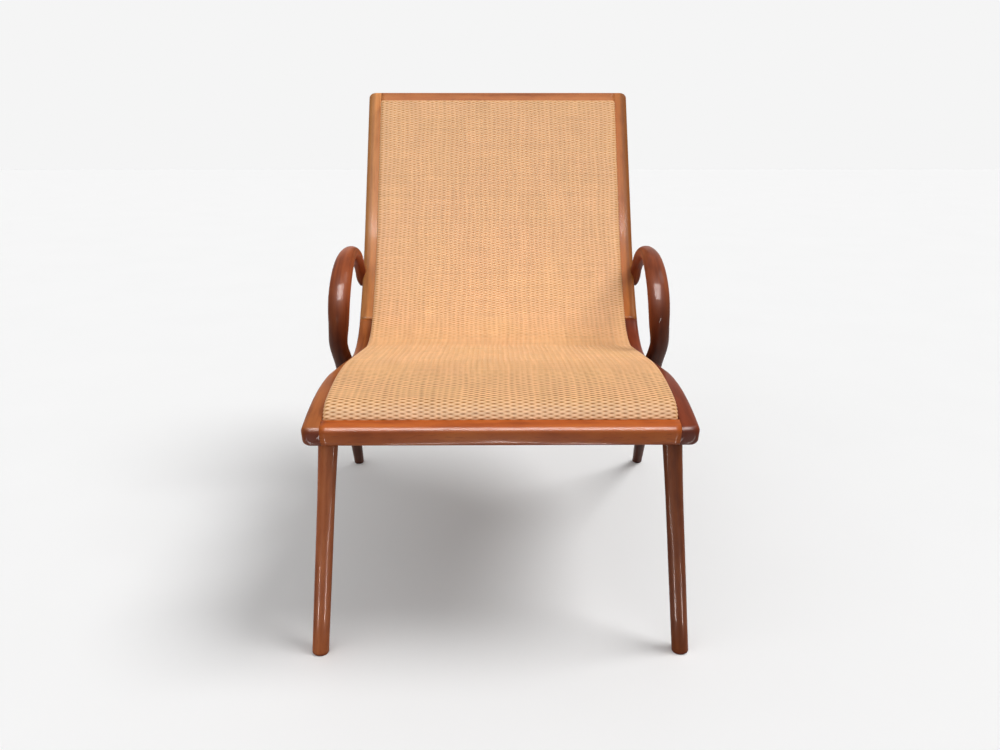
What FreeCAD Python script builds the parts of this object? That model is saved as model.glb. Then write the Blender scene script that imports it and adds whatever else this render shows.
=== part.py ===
import FreeCAD, Part
import math
import os

# Planters chair. Millimetres. While it is drawn, Y runs back from the nose of the seat and Z up from the floor.
# At the end every piece moves forward so that the origin lies half way between the nose of the seat line and the
# back of the stiles' tops, which is the middle of the whole depth but for the rounding of the nose.
# The chair is alike left and right: the left side is at -X, as seen by someone who faces the chair.

# Overall frame
frame_half_width = 300.0
rail_width = 29.0

# Seat line: the top face of the side members, seen from the side, as tangent arcs and straights.
# Headings and turns are degrees, up towards the back is positive.
nose_height = 406.0
nose_degrees = 15.2
hump_radius = 590.0
hump_degrees = -24.2
seat_straight = 193.0
bend_radius = 150.0
bend_degrees = 55.0
back_curve_radius = 900.0
back_curve_degrees = 14.0
back_straight = 337.0

# Depth of the side members below the seat line
nose_thickness = 36.0
seat_thickness = 37.5
joint_thickness = 42.0
top_thickness = 28.0

# Rounding of the side members and of the rails between them
outer_round = 10.0
nose_top_round = 6.0
rail_round = 3.0

# Front rail and top rail, measured along the seat line
front_rail_depth = 24.0
top_rail_height = 28.0

# Woven cane panel and its slip frame
panel_proud = 19.5
panel_side_gap = 1.0
panel_end_gap = 1.5
cane_thickness = 3.2
cane_round = 7.0
cane_seat = 0.2
batten_drop = 5.0
batten_width = 30.0
brace_width = 40.0
brace_thickness = 12.0
panel_dowel_length = 36.0
bend_dowel_spacing = 16.0

# Stretchers between the side members, under the slip frame
stretcher_gap = 0.2
seat_stretcher_width = 44.0
seat_stretcher_thickness = 22.0
bend_stretcher_width = 40.0
bend_stretcher_thickness = 26.0
back_stretcher_width = 40.0
back_stretcher_thickness = 20.0

# Dowels and loose tenons
dowel_radius = 4.0
dowel_length = 44.0
dowel_end_gap = 0.5
dowel_spacing = 12.0
stretcher_dowel_spacing = 22.0
tenon_length = 60.0
tenon_width = 22.0
tenon_thickness = 10.0
tenon_end_gap = 0.5

# Front legs: the top lies inside the seat rail's inner face at a station; the foot is splayed out and raked forward
front_leg_inset = 5.5
front_leg_station = 33.5
front_leg_splay = 34.0
front_leg_rake = 20.3
front_foot_radius = 13.7
front_leg_waist_radius = 14.1
front_leg_top_radius = 15.6
front_leg_flare_length = 90.0
front_tenon_radius = 7.5
front_tenon_length = 20.0

# Corner blocks
block_width = 58.0
block_depth = 60.0
block_screw_end = 10.0
block_screw_side = 15.0
block_screw_spacing = 11.0
block_panel_screw_end = 22.0

# Arm and rear leg member. The crossing is where its middle passes the outside of the seat rail, the tip is where
# its end comes down against the outside of the back stile; both are stations and depths below the seat line.
crossing_station = 466.6
crossing_depth = 18.3
crossing_out = 17.5
rear_foot_out = 58.5
rear_foot_back = 328.0
arm_forward = 89.0
tip_station = 685.7
tip_depth = 25.2
arm_lean = 16.0
rear_foot_radius = 11.6
arm_half_width = 20.5
arm_half_thickness = 14.5

# Fastenings
bolt_radius = 4.0
bolt_gap = 0.3
bolt_head_radius = 6.5
bolt_head_depth = 5.0
bolt_sink = 1.0
bolt_spacing = 21.0
bolt_reach = 13.0
washer_radius = 8.0
washer_thickness = 1.5
insert_radius = 6.0
insert_length = 15.0
screw_radius = 2.0
screw_head_radius = 4.0
screw_head_depth = 3.0
screw_bite = 12.0
tip_screw_bite = 6.0
plug_thickness = 4.0
bend_screw_x = 150.0

# One overrun for all cuts, and the size of the block that cuts the front legs off at the floor
overrun = 5.0
floor_cut = 100.0

os.makedirs("parts", exist_ok=True)

rail_inner = frame_half_width - rail_width
near_share = 0.001
near = rail_width * near_share
settle_steps = 20
pieces = {}


def vec(x, y, z):
    return FreeCAD.Vector(x, y, z)


# The seat line as stretches: start station, length, start point, heading and bow

seat_line = []


def add_stretch(length, turn):
    """One stretch that turns by so many degrees; a turn of zero is a straight. Gives its end station."""
    y, z, heading, start = 0.0, nose_height, math.radians(nose_degrees), 0.0
    if seat_line:
        last = seat_line[-1]
        start = last["start"] + last["length"]
        y, z, heading = along(start)
    bow = math.radians(turn) / length
    seat_line.append({"start": start, "length": length, "y": y, "z": z, "heading": heading, "bow": bow})
    return start + length


def stretch_at(station):
    found = seat_line[0]
    for item in seat_line:
        if station >= item["start"]:
            found = item
    return found


def along(station):
    """Y, Z and heading on the seat line at a station."""
    item = stretch_at(station)
    run = station - item["start"]
    start_heading = item["heading"]
    if not item["bow"]:
        return item["y"] + run * math.cos(start_heading), item["z"] + run * math.sin(start_heading), start_heading
    heading = start_heading + item["bow"] * run
    y = item["y"] + (math.sin(heading) - math.sin(start_heading)) / item["bow"]
    z = item["z"] + (math.cos(start_heading) - math.cos(heading)) / item["bow"]
    return y, z, heading


def on_line(station, lift, x=0.0):
    """Point at a station, lifted square to the seat line towards the sitter."""
    y, z, heading = along(station)
    return vec(x, y - lift * math.sin(heading), z + lift * math.cos(heading))


def direction(station):
    heading = along(station)[2]
    return vec(0, math.cos(heading), math.sin(heading))


hump_end = add_stretch(hump_radius * math.radians(abs(hump_degrees)), hump_degrees)
seat_end = add_stretch(seat_straight, 0.0)
joint_station = add_stretch(bend_radius * math.radians(bend_degrees), bend_degrees)
curve_end = add_stretch(back_curve_radius * math.radians(back_curve_degrees), back_curve_degrees)
top_station = add_stretch(back_straight, 0.0)
bend_station = (seat_end + joint_station) / 2
seat_middle = (hump_end + seat_end) / 2
back_middle = (curve_end + top_station) / 2


def line_edges(first, last, lift, x):
    """Edges along the seat line at one lift, from a first to a last station."""
    cuts = [first] + [item["start"] for item in seat_line[1:] if first < item["start"] < last] + [last]
    edges = []
    for a, b in zip(cuts[:-1], cuts[1:]):
        start = on_line(a, lift, x)
        end = on_line(b, lift, x)
        if stretch_at(a)["bow"]:
            edges.append(Part.Arc(start, on_line((a + b) / 2, lift, x), end).toShape())
        else:
            edges.append(Part.LineSegment(start, end).toShape())
    return edges


def strip(x0, x1, first, last, low, high):
    """Solid between two stations and two lifts, from x0 to x1."""
    ends = [Part.LineSegment(on_line(s, low, x0), on_line(s, high, x0)).toShape() for s in (first, last)]
    edges = line_edges(first, last, high, x0) + line_edges(first, last, low, x0) + ends
    return Part.Face(Part.Wire(Part.__sortEdges__(edges))).extrude(vec(x1 - x0, 0, 0))


def side_member(thicknesses):
    """Right side member: top on the seat line, underside a curve through the thicknesses at its stations."""
    x = rail_inner
    first, first_depth = thicknesses[0]
    last, last_depth = thicknesses[-1]
    under = Part.BSplineCurve()
    under.interpolate([on_line(station, -depth, x) for station, depth in thicknesses])
    ends = [
        Part.LineSegment(on_line(first, -first_depth, x), on_line(first, 0.0, x)).toShape(),
        Part.LineSegment(on_line(last, -last_depth, x), on_line(last, 0.0, x)).toShape(),
    ]
    edges = line_edges(first, last, 0.0, x) + [under.toShape()] + ends
    return Part.Face(Part.Wire(Part.__sortEdges__(edges))).extrude(vec(rail_width, 0, 0))


# Tests that pick edges: an edge is picked where its ends and its middle pass them all


def at_x(x):
    return lambda point: abs(point.x - x) < near


def at_station(station):
    """On the plane across the seat line at one station."""
    return lambda point: abs((point - on_line(station, 0.0, point.x)).dot(direction(station))) < near


def at_lift(lift):
    """At one lift from the seat line, whatever the station."""

    def test(point):
        station = top_station / 2
        for _ in range(settle_steps):
            station += (point - on_line(station, lift, point.x)).dot(direction(station))
            station = min(max(station, 0.0), top_station)
        return (point - on_line(station, lift, point.x)).Length < near

    return test


def picked(shape, *tests):
    found = []
    for edge in shape.Edges:
        middle = edge.valueAt((edge.FirstParameter + edge.LastParameter) / 2)
        points = [vertex.Point for vertex in edge.Vertexes] + [middle]
        if all(test(point) for test in tests for point in points):
            found.append(edge)
    return found


def left_out(edges, others):
    return [edge for edge in edges if not any(edge.isSame(other) for other in others)]


def rod(start, end, radius):
    """Round bar from one point to another."""
    axis = end - start
    return Part.makeCylinder(radius, axis.Length, start, axis)


def mirrored(shape):
    return shape.mirror(vec(0, 0, 0), vec(1, 0, 0))


def keep(name, *solids):
    pieces[name] = list(solids)


def keep_both(name, *solids):
    """A group of like pieces on the right, and the same on the left."""
    pieces[name] = list(solids) + [mirrored(solid) for solid in solids]


def keep_pair(name, right):
    pieces["left_" + name] = [mirrored(right)]
    pieces["right_" + name] = [right]


def cut(name, tools):
    pieces[name] = [solid.cut(tools) for solid in pieces[name]]


def cut_both(name, tools):
    cut(name, tools + [mirrored(tool) for tool in tools])


def cut_pair(name, tools):
    cut("right_" + name, tools)
    cut("left_" + name, [mirrored(tool) for tool in tools])


# Side members: the seat rail below the joint and the back stile above it

seat_rail = side_member([
    (0.0, nose_thickness),
    (hump_end / 2, (nose_thickness + seat_thickness) / 2),
    (hump_end, seat_thickness),
    (seat_middle, (seat_thickness * 2 + joint_thickness) / 3),
    (seat_end, (seat_thickness + joint_thickness * 2) / 3),
    (bend_station, joint_thickness),
    (joint_station, joint_thickness),
])
nose = at_station(0.0)
outer = at_x(frame_half_width)
joint = at_station(joint_station)
seat_rail = seat_rail.makeFillet(nose_top_round, picked(seat_rail, nose, at_lift(0.0)))
outer_edges = left_out(picked(seat_rail, outer), picked(seat_rail, joint))
seat_rail = seat_rail.makeFillet(outer_round, outer_edges + picked(seat_rail, nose, at_lift(-nose_thickness)))
keep_pair("seat_rail", seat_rail)

back_stile = side_member([
    (joint_station, joint_thickness),
    (curve_end, (joint_thickness * 2 + top_thickness) / 3),
    (back_middle, (joint_thickness + top_thickness * 2) / 3),
    (top_station, top_thickness),
])
top_end = at_station(top_station)
back_stile = back_stile.makeFillet(rail_round, picked(back_stile, top_end, at_lift(0.0)))
back_stile = back_stile.makeFillet(rail_round, picked(back_stile, top_end, at_lift(-top_thickness)))
outer_edges = left_out(picked(back_stile, outer), picked(back_stile, joint))
back_stile = back_stile.makeFillet(outer_round, outer_edges)
keep_pair("back_stile", back_stile)

# Front rail and top rail between the side members

front_rail = strip(-rail_inner, rail_inner, 0.0, front_rail_depth, -nose_thickness, 0.0)
front_rail = front_rail.makeFillet(outer_round, picked(front_rail, nose, at_lift(-nose_thickness)))
front_rail = front_rail.makeFillet(nose_top_round, picked(front_rail, nose, at_lift(0.0)))
keep("front_rail", front_rail)
top_rail = strip(-rail_inner, rail_inner, top_station - top_rail_height, top_station, -top_thickness, 0.0)
top_rail = top_rail.makeFillet(rail_round, picked(top_rail, top_end, at_lift(0.0)))
top_rail = top_rail.makeFillet(rail_round, picked(top_rail, top_end, at_lift(-top_thickness)))
keep("top_rail", top_rail)

# Slip frame of the cane panel: side battens, cross battens and braces, inside the roll of the cane

panel_half = rail_inner - panel_side_gap
panel_first = front_rail_depth + panel_end_gap
panel_last = top_station - top_rail_height - panel_end_gap
inset = cane_thickness + cane_seat
batten_outer = panel_half - inset
batten_inner = batten_outer - batten_width
batten_first = panel_first + inset
batten_last = panel_last - inset
batten_top = panel_proud - inset
batten_round = cane_round - inset
batten_middle_x = (batten_outer + batten_inner) / 2
batten_middle_lift = (batten_top - batten_drop) / 2
brace_top = brace_thickness - batten_drop
brace_middle_lift = (brace_top - batten_drop) / 2


def batten(first, last, x0, x1):
    return strip(x0, x1, first, last, -batten_drop, batten_top)


def side_batten(first, last, end):
    """Right side batten between two stations, rounded over its outer edge and over the end at one station."""
    bar = batten(first, last, batten_inner, batten_outer)
    top = at_lift(batten_top)
    return bar.makeFillet(batten_round, picked(bar, top, at_x(batten_outer)) + picked(bar, top, at_station(end)))


keep_pair("panel_seat_batten", side_batten(batten_first, bend_station, batten_first))
keep_pair("panel_back_batten", side_batten(bend_station, batten_last, batten_last))

front_batten = batten(batten_first, batten_first + batten_width, -batten_inner, batten_inner)
front_batten = front_batten.makeFillet(
    batten_round, picked(front_batten, at_lift(batten_top), at_station(batten_first)))
keep("panel_front_batten", front_batten)
top_batten = batten(batten_last - batten_width, batten_last, -batten_inner, batten_inner)
top_batten = top_batten.makeFillet(
    batten_round, picked(top_batten, at_lift(batten_top), at_station(batten_last)))
keep("panel_top_batten", top_batten)
bend_half = batten_width / 2
keep("panel_bend_batten", batten(bend_station - bend_half, bend_station + bend_half, -batten_inner, batten_inner))
brace_half = brace_width / 2
for name, station in (("panel_seat_brace", hump_end), ("panel_back_brace", curve_end)):
    keep(name, strip(
        -batten_inner, batten_inner, station - brace_half, station + brace_half, -batten_drop, brace_top))

# Cane panel: a woven skin over the slip frame, its four edges rolled down past the frame


def rolled(half, first, last, low, high, rounding):
    """Panel between two stations whose four top edges are rounded."""
    body = strip(-half, half, first, last, low, high)
    top = at_lift(high)
    edges = []
    for test in (at_x(half), at_x(-half), at_station(first), at_station(last)):
        edges += picked(body, top, test)
    return body.makeFillet(rounding, edges)


cane_skin = rolled(panel_half, panel_first, panel_last, -batten_drop, panel_proud, cane_round)
cane_inside = rolled(
    panel_half - cane_thickness, panel_first + cane_thickness, panel_last - cane_thickness,
    -batten_drop - overrun, panel_proud - cane_thickness, cane_round - cane_thickness)
keep("cane_panel", cane_skin.cut(cane_inside))

# Stretchers under the slip frame, flat pieces set square to the seat line

stretcher_top = -batten_drop - stretcher_gap


def stretcher(station, width, thickness):
    """Flat cross piece between the side members, its top just below the slip frame at one station."""
    y, z, heading = along(station)
    bar = Part.makeBox(rail_inner * 2, width, thickness, vec(-rail_inner, -width / 2, stretcher_top - thickness))
    bar.rotate(vec(0, 0, 0), vec(1, 0, 0), math.degrees(heading))
    bar.translate(vec(0, y, z))
    return bar


stretchers = {
    "seat_stretcher": (seat_middle, seat_stretcher_width, seat_stretcher_thickness),
    "bend_stretcher": (bend_station, bend_stretcher_width, bend_stretcher_thickness),
    "back_stretcher": (back_middle, back_stretcher_width, back_stretcher_thickness),
}
for name, (station, width, thickness) in stretchers.items():
    keep(name, stretcher(station, width, thickness))

# Corner blocks under the front corners of the slip frame, glued to the front rail and the seat rails

block_inner = rail_inner - block_width
block_last = front_rail_depth + block_depth
block_middle_lift = (stretcher_top - nose_thickness) / 2
keep_pair("corner_block", strip(
    block_inner, rail_inner, front_rail_depth, block_last, -nose_thickness, stretcher_top))

# Dowels across the joints between cross pieces and side pieces


def dowels(member, cross, points, x, length):
    """Dowels along X with their middles at x on the joint of a paired piece and a cross piece, and their holes."""
    reach = vec(length / 2, 0, 0)
    spare = vec(dowel_end_gap, 0, 0)
    middles = [vec(x, point.y, point.z) for point in points]
    holes = [rod(middle - reach - spare, middle + reach + spare, dowel_radius) for middle in middles]
    cut_pair(member, holes)
    cut_both(cross, holes)
    return [rod(middle - reach, middle + reach, dowel_radius) for middle in middles]


def across_pair(point, heading_vector, spacing):
    return [point - heading_vector * (spacing / 2), point + heading_vector * (spacing / 2)]


def square_to(station):
    """Upward direction square to the seat line at a station."""
    return vec(1, 0, 0).cross(direction(station))


front_middle = front_rail_depth / 2
front_points = across_pair(on_line(front_middle, -nose_thickness / 2), square_to(front_middle), dowel_spacing)
keep_both("front_rail_dowels", *dowels("seat_rail", "front_rail", front_points, rail_inner, dowel_length))
top_middle = top_station - top_rail_height / 2
top_points = across_pair(on_line(top_middle, -top_thickness / 2), square_to(top_middle), dowel_spacing)
keep_both("top_rail_dowels", *dowels("back_stile", "top_rail", top_points, rail_inner, dowel_length))

stretcher_pins = []
for name, (station, width, thickness) in stretchers.items():
    member = "back_stile" if station > joint_station else "seat_rail"
    middle = on_line(station, stretcher_top - thickness / 2)
    points = across_pair(middle, direction(station), stretcher_dowel_spacing)
    stretcher_pins += dowels(member, name, points, rail_inner, dowel_length)
keep_both("stretcher_dowels", *stretcher_pins)

front_batten_middle = batten_first + batten_width / 2
top_batten_middle = batten_last - batten_width / 2
bend_offset = bend_dowel_spacing / 2
panel_joints = [
    ("panel_seat_batten", "panel_front_batten", front_batten_middle, batten_middle_lift),
    ("panel_seat_batten", "panel_seat_brace", hump_end, brace_middle_lift),
    ("panel_seat_batten", "panel_bend_batten", bend_station - bend_offset, batten_middle_lift),
    ("panel_back_batten", "panel_bend_batten", bend_station + bend_offset, batten_middle_lift),
    ("panel_back_batten", "panel_back_brace", curve_end, brace_middle_lift),
    ("panel_back_batten", "panel_top_batten", top_batten_middle, batten_middle_lift),
]
panel_pins = []
for member, cross, station, lift in panel_joints:
    panel_pins += dowels(member, cross, [on_line(station, lift)], batten_inner, panel_dowel_length)
keep_both("panel_dowels", *panel_pins)

# Loose tenons in the joints between seat rails and back stiles, set along the seat line

tenon_middle = vec((rail_inner + frame_half_width) / 2, 0, 0) + on_line(joint_station, -joint_thickness / 2)


def tenon_block(length):
    """Flat bar centred on the joint, its length along the seat line there."""
    bar = Part.makeBox(tenon_thickness, length, tenon_width, vec(-tenon_thickness / 2, -length / 2, -tenon_width / 2))
    long_edges = [edge for edge in bar.Edges if abs(edge.tangentAt(edge.FirstParameter).y) > 1 - near_share]
    bar = bar.makeFillet(tenon_thickness / 2 - near, long_edges)
    bar.rotate(vec(0, 0, 0), vec(1, 0, 0), math.degrees(along(joint_station)[2]))
    bar.translate(tenon_middle)
    return bar


keep_both("joint_tenons", tenon_block(tenon_length))
mortise = tenon_block(tenon_length + tenon_end_gap * 2)
cut_pair("seat_rail", [mortise])
cut_pair("back_stile", [mortise])

# Front legs: turned, with a flare at the top and a round tenon into the corner block

leg_top = on_line(front_leg_station, -nose_thickness, rail_inner - front_leg_inset)
leg_foot = vec(leg_top.x + front_leg_splay, leg_top.y - front_leg_rake, 0)
leg_axis = (leg_top - leg_foot).normalize()
leg_length = (leg_top - leg_foot).Length


def turned(points, start, axis):
    """Solid turned from radii and heights along an axis, through a smooth curve."""
    curve = Part.BSplineCurve()
    curve.interpolate([vec(radius, 0, height) for radius, height in points])
    low, high = points[0][1], points[-1][1]
    edges = [
        curve.toShape(),
        Part.LineSegment(vec(0, 0, low), vec(points[0][0], 0, low)).toShape(),
        Part.LineSegment(vec(points[-1][0], 0, high), vec(0, 0, high)).toShape(),
        Part.LineSegment(vec(0, 0, high), vec(0, 0, low)).toShape(),
    ]
    body = Part.Face(Part.Wire(Part.__sortEdges__(edges))).revolve(vec(0, 0, 0), vec(0, 0, 1), 360)
    body.Placement = FreeCAD.Placement(start, FreeCAD.Rotation(vec(0, 0, 1), axis))
    return body


past = front_leg_top_radius
below_floor = Part.makeBox(
    floor_cut * 2, floor_cut * 2, floor_cut, vec(leg_foot.x - floor_cut, leg_foot.y - floor_cut, -floor_cut))
leg_body = turned([
    (front_foot_radius, -past),
    (front_foot_radius, past),
    (front_foot_radius + (front_leg_waist_radius - front_foot_radius) / 2, leg_length / 2),
    (front_leg_waist_radius, leg_length - front_leg_flare_length),
    (front_leg_top_radius, leg_length),
    (front_leg_top_radius, leg_length + past),
], leg_foot, leg_axis)
above_rails = strip(0, frame_half_width * 2, 0, block_last, -nose_thickness, 0)
leg_body = leg_body.cut([below_floor, above_rails, pieces["right_seat_rail"][0]])
leg_tenon = rod(leg_top - leg_axis * past, leg_top + leg_axis * front_tenon_length, front_tenon_radius)
tenon_hole = rod(
    leg_top - leg_axis * past, leg_top + leg_axis * (front_tenon_length + tenon_end_gap), front_tenon_radius)
keep_pair("front_leg", leg_body.fuse(leg_tenon).removeSplitter())
cut_pair("corner_block", [tenon_hole])
cut_pair("seat_rail", [tenon_hole])

# Arm and rear leg: one bent member each side, lofted through oval sections square to its path.
# It runs straight from the rear foot past the seat rail, then over in a loop to the outside of the stile.

crossing = on_line(crossing_station, -crossing_depth, frame_half_width + crossing_out)
foot_middle = vec(frame_half_width + rear_foot_out, crossing.y + rear_foot_back, 0)
leg_run = (crossing - foot_middle).normalize()
tip = on_line(tip_station, -tip_depth)
tip_rise_share = 0.58
arm_front_y = crossing.y - arm_forward
arm_rise = (tip.z - crossing.z) / tip_rise_share

# Shares of the way from the floor to the crossing
crossing_width_share = 0.92
leg_shares = [0.0, 0.1, 0.25, 0.4, 0.55, 0.7, 0.85, 1.0]

# Shares of the loop: back from its front to the tip, up from the crossing, in by the lean, width, thickness
loop_shares = [
    (0.150, 0.240, 0.05, 0.88, 1.00),
    (0.036, 0.450, 0.60, 0.94, 1.00),
    (0.002, 0.650, 0.91, 1.00, 1.00),
    (0.047, 0.805, 1.05, 1.00, 0.97),
    (0.189, 0.944, 1.09, 0.95, 0.95),
    (0.444, 1.000, 0.92, 0.83, 0.93),
    (0.698, 0.963, 0.79, 0.74, 0.91),
    (0.880, 0.847, 0.76, 0.65, 0.90),
    (0.971, 0.720, 0.82, 0.56, 0.86),
    (1.000, 0.600, 0.93, 0.48, 0.70),
    (1.004, 0.565, 0.97, 0.32, 0.45),
]

middles = []
halves = []
for share in leg_shares:
    middles.append(foot_middle + (crossing - foot_middle) * share)
    halves.append((
        rear_foot_radius + (arm_half_width * crossing_width_share - rear_foot_radius) * share,
        rear_foot_radius + (arm_half_thickness - rear_foot_radius) * share))
for back, rise, side, wide, thick in loop_shares:
    y = arm_front_y + (tip.y - arm_front_y) * back
    middles.append(vec(crossing.x - arm_lean * side, y, crossing.z + arm_rise * rise))
    halves.append((arm_half_width * wide, arm_half_thickness * thick))
runs = [0.0]
for a, b in zip(middles[:-1], middles[1:]):
    runs.append(runs[-1] + (b - a).Length)

# The path of the member, and a second curve over the same runs that carries the half width and half thickness
path = Part.BSplineCurve()
path.interpolate(Points=middles, Parameters=runs)
oval_sizes = Part.BSplineCurve()
oval_sizes.interpolate(Points=[vec(wide, thick, run) for (wide, thick), run in zip(halves, runs)], Parameters=runs)
section_count = 30
oval_points = 12


def oval(run):
    """Closed oval square to the path; its width lies across the chair. The first one lies flat on the floor."""
    middle = path.value(run)
    heading = path.tangent(run)[0]
    wide, thick, _ = oval_sizes.value(run)
    across = vec(1, 0, 0) - heading * heading.x
    across.normalize()
    up = heading.cross(across)
    turns = [math.radians(360 * step / oval_points) for step in range(oval_points)]
    rim = [middle + across * (wide * math.cos(turn)) + up * (thick * math.sin(turn)) for turn in turns]
    if not run:
        rim = [point - heading * (point.z / heading.z) for point in rim]
    curve = Part.BSplineCurve()
    curve.interpolate(Points=rim, PeriodicFlag=True)
    return Part.Wire([curve.toShape()])


arm_leg = Part.makeLoft([oval(runs[-1] * step / section_count) for step in range(section_count + 1)], True, False)
keep_pair("arm_leg", arm_leg.cut([pieces["right_seat_rail"][0], pieces["right_back_stile"][0]]))

# Leg bolts: from the inner face of the seat rail, over washers, into threaded inserts in the rear leg


def x_rod(point, x0, x1, radius):
    return rod(vec(x0, point.y, point.z), vec(x1, point.y, point.z), radius)


head_x = rail_inner + bolt_sink
washer_x = head_x + bolt_head_depth
sink_x = washer_x + washer_thickness
bolt_points = across_pair(crossing, leg_run, bolt_spacing)
bolts = []
washers = []
inserts = []
for point in bolt_points:
    bolts.append(x_rod(point, head_x, washer_x, bolt_head_radius).fuse(
        x_rod(point, head_x, frame_half_width + bolt_reach, bolt_radius)).removeSplitter())
    washers.append(x_rod(point, washer_x, sink_x, washer_radius).cut(
        x_rod(point, washer_x - overrun, sink_x + overrun, bolt_radius + bolt_gap)))
    sleeve = x_rod(point, frame_half_width, frame_half_width + insert_length, insert_radius)
    inserts.append(sleeve.cut(
        x_rod(point, frame_half_width - overrun, frame_half_width + insert_length + overrun, bolt_radius)))
    cut_pair("seat_rail", [
        x_rod(point, rail_inner - overrun, sink_x, washer_radius + bolt_gap),
        x_rod(point, rail_inner, frame_half_width + overrun, bolt_radius + bolt_gap)])
    cut_pair("arm_leg", [
        x_rod(point, frame_half_width - overrun, frame_half_width + insert_length, insert_radius)])
keep_both("leg_bolts", *bolts)
keep_both("leg_bolt_washers", *washers)
keep_both("leg_inserts", *inserts)

# Screws: each cuts its own hole in the pieces it passes


def screw(start, end):
    """Screw from the face its head is sunk into, to its tip."""
    axis = (end - start).normalize()
    head = rod(start, start + axis * screw_head_depth, screw_head_radius)
    return head.fuse(rod(start, end, screw_radius)).removeSplitter()


# Arm tip screws, from the inner face of the stile into the end of the arm, and the plugs over them

tip_middle = (middles[-3] + middles[-2]) / 2
tip_start = vec(rail_inner + plug_thickness, tip_middle.y, tip_middle.z)
tip_screw = screw(tip_start, vec(frame_half_width + tip_screw_bite, tip_middle.y, tip_middle.z))
plug = x_rod(tip_middle, rail_inner, rail_inner + plug_thickness, screw_head_radius)
cut_pair("back_stile", [tip_screw, plug])
cut_pair("arm_leg", [tip_screw])
keep_both("arm_tip_screws", tip_screw)
keep_both("arm_screw_plugs", plug)

# Corner block screws, one into the seat rail and one into the front rail

side_point = on_line(block_last - block_screw_end, block_middle_lift + block_screw_spacing / 2)
side_screw = screw(
    vec(block_inner, side_point.y, side_point.z), vec(rail_inner + screw_bite, side_point.y, side_point.z))
end_x = block_inner + block_screw_side
end_lift = block_middle_lift - block_screw_spacing / 2
end_screw = screw(on_line(block_last, end_lift, end_x), on_line(front_rail_depth - screw_bite, end_lift, end_x))
cut_pair("corner_block", [side_screw, end_screw])
cut_pair("seat_rail", [side_screw])
cut_both("front_rail", [end_screw])
keep_both("corner_block_screws", side_screw, end_screw)

# Panel screws, from below through the corner blocks and the stretchers into the slip frame


def panel_screw(station, under, x):
    """Screw square to the seat line, its head at the underside of the piece it passes."""
    return screw(on_line(station, under, x), on_line(station, stretcher_top + screw_bite, x))


block_screw = panel_screw(block_last - block_panel_screw_end, -nose_thickness, batten_middle_x)
seat_screw = panel_screw(seat_middle, stretcher_top - seat_stretcher_thickness, batten_middle_x)
bend_screw = panel_screw(bend_station, stretcher_top - bend_stretcher_thickness, bend_screw_x)
back_screw = panel_screw(back_middle, stretcher_top - back_stretcher_thickness, batten_middle_x)
cut_pair("corner_block", [block_screw])
cut_both("seat_stretcher", [seat_screw])
cut_both("bend_stretcher", [bend_screw])
cut_both("back_stretcher", [back_screw])
cut_pair("panel_seat_batten", [block_screw, seat_screw])
cut_both("panel_bend_batten", [bend_screw])
cut_pair("panel_back_batten", [back_screw])
keep_both("panel_screws", block_screw, seat_screw, bend_screw, back_screw)

# Move every piece forward by half the depth and write each node

back_reach = on_line(top_station, -top_thickness).y
forward = vec(0, -back_reach / 2, 0)
for name, solids in pieces.items():
    for solid in solids:
        solid.translate(forward)
    shape = solids[0] if len(solids) == 1 else Part.makeCompound(solids)
    print(name, len(shape.Solids), shape.isValid(), round(shape.Volume), shape.BoundBox)
    shape.exportStep("parts/" + name + ".step")
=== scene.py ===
import math
import bpy
import numpy as np
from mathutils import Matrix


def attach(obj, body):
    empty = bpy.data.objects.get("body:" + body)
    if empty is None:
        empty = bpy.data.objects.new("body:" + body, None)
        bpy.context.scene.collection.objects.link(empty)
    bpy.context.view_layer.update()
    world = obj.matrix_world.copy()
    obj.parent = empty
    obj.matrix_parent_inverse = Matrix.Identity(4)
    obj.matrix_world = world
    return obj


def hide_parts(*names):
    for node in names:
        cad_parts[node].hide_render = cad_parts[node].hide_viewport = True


# Planters chair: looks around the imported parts. Metres; the sitter faces -Y, Z is up, the floor is at zero.
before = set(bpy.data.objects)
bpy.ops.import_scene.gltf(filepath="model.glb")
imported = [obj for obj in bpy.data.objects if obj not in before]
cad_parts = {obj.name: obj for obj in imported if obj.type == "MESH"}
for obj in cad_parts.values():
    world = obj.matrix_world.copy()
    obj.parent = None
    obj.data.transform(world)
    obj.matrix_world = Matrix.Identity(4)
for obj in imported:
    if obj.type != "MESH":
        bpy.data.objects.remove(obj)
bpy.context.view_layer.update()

# Seat rails and back stiles
# The two side members, each a seat rail of red hardwood joined to a paler back stile just above the bend. They
# are sawn to an S, rounded over on the outside and along the nose, and lacquered. Their top face is the seat
# line, a chain of arcs (radius, turn in degrees) and straights (None, length) that all else is set out from.
DEPTH_SHIFT = 0.44687
HALF_WIDTH = 0.300
INNER_X = 0.271
OUTER_ROUND = 0.010
INNER_ROUND = 0.0012
NOSE_TOP_ROUND = 0.010
TOP_END_ROUND = 0.003
JOINT = 0.58619
TOP = 1.14310
NOSE_LIFT = 0.406
NOSE_SLOPE = 15.2
LINE = [(0.59, -24.2), (None, 0.193), (0.15, 55.0), (0.9, 14.0), (None, 0.337)]
END_GRAIN = 0.006


def line_stretches():
    """Start station, Y, Z, heading and bow of each stretch of the seat line."""
    station, y, z, heading = 0.0, -DEPTH_SHIFT, NOSE_LIFT, math.radians(NOSE_SLOPE)
    rows = []
    for radius, size in LINE:
        length = size if radius is None else radius * math.radians(abs(size))
        bow = 0.0 if radius is None else math.radians(size) / length
        rows.append((station, y, z, heading, bow))
        if bow:
            end = heading + bow * length
            y += (math.sin(end) - math.sin(heading)) / bow
            z += (math.cos(heading) - math.cos(end)) / bow
            heading = end
        else:
            y += length * math.cos(heading)
            z += length * math.sin(heading)
        station += length
    return np.array(rows)


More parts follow.
